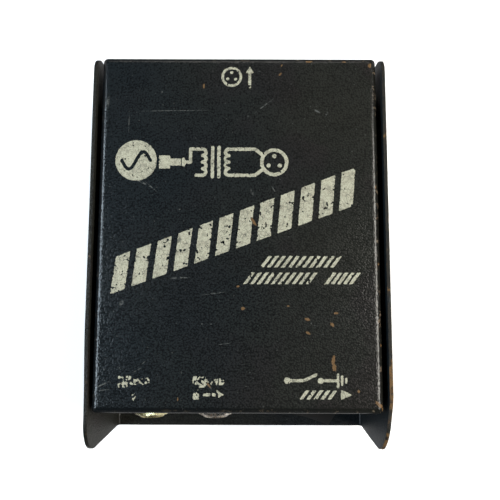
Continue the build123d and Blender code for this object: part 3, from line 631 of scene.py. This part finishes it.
# ---------------------------------------------------------------- printed graphics
def stroke(x, y, points, width):
    """Signed distance to a line of that width through points."""
    nearest = np.full(x.shape, 1e9)
    for (ax, ay), (bx, by) in zip(points, points[1:]):
        dx, dy = bx - ax, by - ay
        along = np.clip(((x - ax) * dx + (y - ay) * dy) / (dx * dx + dy * dy), 0, 1)
        nearest = np.minimum(nearest, np.hypot(x - ax - along * dx, y - ay - along * dy))
    return nearest - width / 2


def disc(x, y, centre, radius):
    return np.hypot(x - centre[0], y - centre[1]) - radius


def ring(x, y, centre, radius, width):
    return np.abs(disc(x, y, centre, radius)) - width / 2


def plate(x, y, corners):
    """Signed distance to a convex outline whose corners run anticlockwise."""
    furthest = np.full(x.shape, -1e9)
    for (ax, ay), (bx, by) in zip(corners, corners[1:] + corners[:1]):
        length = math.hypot(bx - ax, by - ay)
        furthest = np.maximum(furthest, ((x - ax) * (by - ay) - (y - ay) * (bx - ax)) / length)
    return furthest


def bar(x, y, x0, x1, y0, y1):
    return plate(x, y, [(x0, y0), (x1, y0), (x1, y1), (x0, y1)])


def arc_points(centre, radius, start, end, count=14):
    """Points on a circle between two angles in degrees."""
    angles = [math.radians(start + (end - start) * i / count) for i in range(count + 1)]
    return [(centre[0] + radius * math.cos(a), centre[1] + radius * math.sin(a)) for a in angles]


def arrow(x, y, tail, head, width, head_size):
    """Straight arrow with a solid head."""
    dx, dy = head[0] - tail[0], head[1] - tail[1]
    length = math.hypot(dx, dy)
    dx, dy = dx / length, dy / length
    neck = (head[0] - dx * head_size, head[1] - dy * head_size)
    left = (neck[0] - dy * 0.62 * head_size, neck[1] + dx * 0.62 * head_size)
    right = (neck[0] + dy * 0.62 * head_size, neck[1] - dx * 0.62 * head_size)
    return np.minimum(stroke(x, y, [tail, neck], width), plate(x, y, [right, head, left]))


def union(*shapes):
    return np.minimum.reduce(shapes)


def plug_icon(x, y, left, middle, length, height):
    """Side view of a phone plug: handle, shaft and tip."""
    handle = left + 0.40 * length
    shaft = left + 0.78 * length
    body = bar(x, y, left, handle, middle - height / 2, middle + height / 2)
    stem = bar(x, y, handle - 0.1, shaft, middle - 0.27 * height, middle + 0.27 * height)
    neck, crown = shaft + 0.35, left + 0.9 * length
    tip = plate(x, y, [(neck, middle - 0.27 * height), (crown, middle - 0.36 * height),
                       (left + length, middle), (crown, middle + 0.36 * height),
                       (neck, middle + 0.27 * height)])
    return union(body, stem, tip)


def contacts(x, y, centre, spread, radius):
    """Three round contacts of a connector face, one at the top."""
    places = [arc_points(centre, spread, angle, angle + 1, 1)[0] for angle in (90, 210, 330)]
    return union(*[disc(x, y, place, radius) for place in places])


def connector_label(x, y):
    """Rear connector: ring with three contacts beside an arrow that leaves the box."""
    centre = (-2.6, 59.6)
    return union(ring(x, y, centre, 3.2, 0.9), contacts(x, y, centre, 1.6, 0.55),
                 arrow(x, y, (3.7, 56.0), (3.7, 63.4), 1.0, 2.4))


def wave_disc(x, y):
    """Disc with one period of a sine wave left open."""
    cx, cy, radius = -35.25, 29.55, 7.1
    wave = [(cx + t * 4.9 / 8, cy + 3.1 * math.sin(math.pi * t / 8)) for t in range(-8, 9)]
    return np.maximum(disc(x, y, (cx, cy), radius), -stroke(x, y, wave, 1.15))


def circuit(x, y):
    """Signal path: plug, coil, two core bars, coil and three-pin connector."""
    middle, reach, width = 29.0, 4.6, 1.15
    primary, secondary = -12.4, -3.4
    face, shoulder = 8.2, 5.6
    lines = [
        [(-17.6, middle), (-16.6, middle)],
        [(-16.6, middle), (-16.6, middle + reach)],
        [(-16.6, middle + reach), (primary, middle + reach)],
        [(-14.6, middle - reach), (primary, middle - reach)],
    ]
    for side in (1, -1):
        level = middle + side * reach
        lines.append([(secondary, level), (shoulder, level), (face, middle + side * 2.6)])
    for turn in range(4):
        level = middle + 3.45 - 2.3 * turn
        lines.append(arc_points((primary, level), 1.15, 90, -90))
        lines.append(arc_points((secondary, level), 1.15, 90, 270))
    for core in (-9.0, -6.8):
        lines.append([(core, middle - 5.2), (core, middle + 5.2)])
    centre = (12.2, middle)
    return union(plug_icon(x, y, -27.4, middle, 9.6, 4.6), *[stroke(x, y, line, width) for line in lines],
                 ring(x, y, centre, 4.3, 1.2), contacts(x, y, centre, 2.2, 0.75))


def rising_bars(x, y):
    """Row of twelve heavy slanted bars that climbs to the right."""
    count, share = 12, 0.68
    low_left, low_right = Vector((-42.7, -16.3)), Vector((38.9, 13.8))
    up_left, up_right = Vector((1.6, 12.6)), Vector((1.2, 13.4))
    shapes = []
    for number in range(count):
        start = number / (count - 1 + share)
        end = (number + share) / (count - 1 + share)
        feet = [low_left.lerp(low_right, s) for s in (start, end)]
        tops = [foot + up_left.lerp(up_right, s) for foot, s in zip(feet, (start, end))]
        shapes.append(plate(x, y, [tuple(c) for c in (feet[0], feet[1], tops[1], tops[0])]))
    return union(*shapes)


def hatch(x, y, left, right, low, high, count, width=1.25, slant=2.9):
    """Band of evenly spaced slanted strokes."""
    pitch = (right - left - slant - width) / (count - 1)
    starts = [left + pitch * number for number in range(count)]
    return union(*[plate(x, y, [(s, low), (s + width, low), (s + width + slant, high), (s + slant, high)])
                   for s in starts])


def two_rows(x, y):
    """Hatched bands in two rows, the lower one in two parts."""
    upper = hatch(x, y, 7.3, 35.0, -7.2, -3.3, 11)
    return union(upper, hatch(x, y, 1.6, 26.7, -12.8, -8.9, 10), hatch(x, y, 28.9, 41.2, -12.8, -8.9, 5))


def input_label(x, y):
    """Plug over an arrow towards the jack."""
    return union(plug_icon(x, y, -39.2, -44.9, 10.8, 3.7),
                 arrow(x, y, (-34.0, -47.2), (-34.0, -51.0), 1.0, 2.2))


def link_label(x, y):
    """Plug over a block that an arrow leaves."""
    return union(plug_icon(x, y, -14.7, -44.9, 10.6, 3.7), bar(x, y, -14.6, -12.6, -50.6, -47.4),
                 arrow(x, y, (-11.0, -49.0), (-4.4, -49.0), 1.0, 2.4))


def lift_label(x, y):
    """Open switch in a line to the earth sign, over a hatched band and an arrow to the rocker."""
    level, width, earth = -44.4, 0.95, 33.0
    shapes = [disc(x, y, (16.4, level), 1.1), disc(x, y, (27.3, level), 0.95)]
    for line in ([(16.4, level), (21.6, level), (25.8, level + 1.9)],
                 [(27.3, level), (earth - 0.6, level)]):
        shapes.append(stroke(x, y, line, width))
    for place, half in ((earth, 2.0), (earth + 1.35, 1.3), (earth + 2.7, 0.6)):
        shapes.append(stroke(x, y, [(place, level - half), (place, level + half)], 0.8))
    shapes.append(hatch(x, y, 20.2, 32.8, -50.4, -47.5, 5, slant=2.2))
    shapes.append(plate(x, y, [(33.9, -50.5), (37.6, -48.9), (33.9, -47.3)]))
    return union(*shapes)


def field(x, y, size, seed):
    """Smooth noise from about -1 to 1 with features of that size."""
    flat = [noise.noise(Vector((a / size, b / size, seed))) for a, b in zip(x.ravel(), y.ravel())]
    return 1.6 * np.array(flat).reshape(x.shape)


def worn(x, y, value, wear, seed):
    """Roughens the outline, and takes flakes and the cover's chips out of the print."""
    value = value + 0.11 * field(x, y, 0.7, seed)
    flake = 0.55 * field(x, y, 2.6, seed + 3) + 0.65 * field(x, y, 0.9, seed + 7)
    flake += 0.35 * field(x, y, 0.45, seed + 9)
    value = np.maximum(value, (flake - (0.85 - wear)) * 0.8)
    for cx, cy, length, width, angle in CHIPS:
        c, s = math.cos(math.radians(angle)), math.sin(math.radians(angle))
        along = ((x - cx) * c + (y - cy) * s) / (length / 2)
        across = ((y - cy) * c - (x - cx) * s) / (width / 2)
        value = np.maximum(value, 0.4 * (1.2 - np.hypot(along, across)))
    return value


def flat_region(x, y, value):
    """Vertices and faces of the region where value is below zero, cut cell by cell."""
    points, index, faces = [], {}, []

    def vertex(key, px, py):
        if key not in index:
            index[key] = len(points)
            points.append((px * MM, py * MM, (TOP + INK_HEIGHT) * MM))
        return index[key]

    inside = value < 0
    busy = inside[:-1, :-1] | inside[1:, :-1] | inside[:-1, 1:] | inside[1:, 1:]
    for i, j in zip(*np.nonzero(busy)):
        loop = []
        corners = [(i, j), (i + 1, j), (i + 1, j + 1), (i, j + 1)]
        for here, there in zip(corners, corners[1:] + corners[:1]):
            if inside[here]:
                loop.append(vertex(here, x[here], y[here]))
            if inside[here] != inside[there]:
                share = float(np.clip(value[here] / (value[here] - value[there]), 0.08, 0.92))
                loop.append(vertex((min(here, there), max(here, there)),
                                   x[here] + share * (x[there] - x[here]),
                                   y[here] + share * (y[there] - y[here])))
        faces.append(loop)
    return points, faces


def print_on_cover(name, shape, low, high, wear, ink):
    """One printed graphic: a thin worn layer of ink that lies on the cover's top."""
    seed = 11.0 + sum(map(ord, name)) % 17
    x, y = np.meshgrid(np.arange(low[0] - 1, high[0] + 1, INK_CELL),
                       np.arange(low[1] - 1, high[1] + 1, INK_CELL), indexing="ij")
    points, faces = flat_region(x, y, worn(x, y, shape(x, y), wear, seed))
    mesh = bpy.data.meshes.new(name)
    mesh.from_pydata(points, [], faces)
    shell = bmesh.new()
    shell.from_mesh(mesh)
    bmesh.ops.dissolve_limit(shell, angle_limit=0.01, verts=shell.verts, edges=shell.edges)
    shell.to_mesh(mesh)
    shell.free()
    mesh.materials.append(ink)
    piece = bpy.data.objects.new(name, mesh)
    scene.collection.objects.link(piece)
    solid = piece.modifiers.new("thickness", "SOLIDIFY")
    solid.thickness = INK_THICKNESS * MM
    solid.offset = -1.0
    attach(piece, "case")


# Each print: its name, its shape, the low and high corner of its field, and how worn it is.
PRINTS = [
    ("print_connector", connector_label, (-6.5, 55), (6.5, 64.5), 0.22),
    ("print_wave_disc", wave_disc, (-43, 22), (-27.5, 37), 0.12),
    ("print_circuit", circuit, (-28, 22.5), (17.5, 35.5), 0.08),
    ("print_rising_bars", rising_bars, (-44, -17.5), (41, 28.5), 0.30),
    ("print_two_rows", two_rows, (1, -13.5), (41.5, -2.5), 0.18),
    ("print_input", input_label, (-40, -51.5), (-27.5, -42.5), 0.98),
    ("print_link", link_label, (-15.5, -51.5), (-3.5, -42.5), 0.82),
    ("print_lift", lift_label, (14.5, -51.5), (38.5, -41.5), 0.18),
]


def print_the_cover():
    ink = cream_ink()
    for name, shape, low, high, wear in PRINTS:
        print_on_cover(name, shape, low, high, wear, ink)


place_camera()
light_the_studio()
lay_floor()
dress_the_parts()
print_the_cover()

scene.view_settings.view_transform = "Standard"
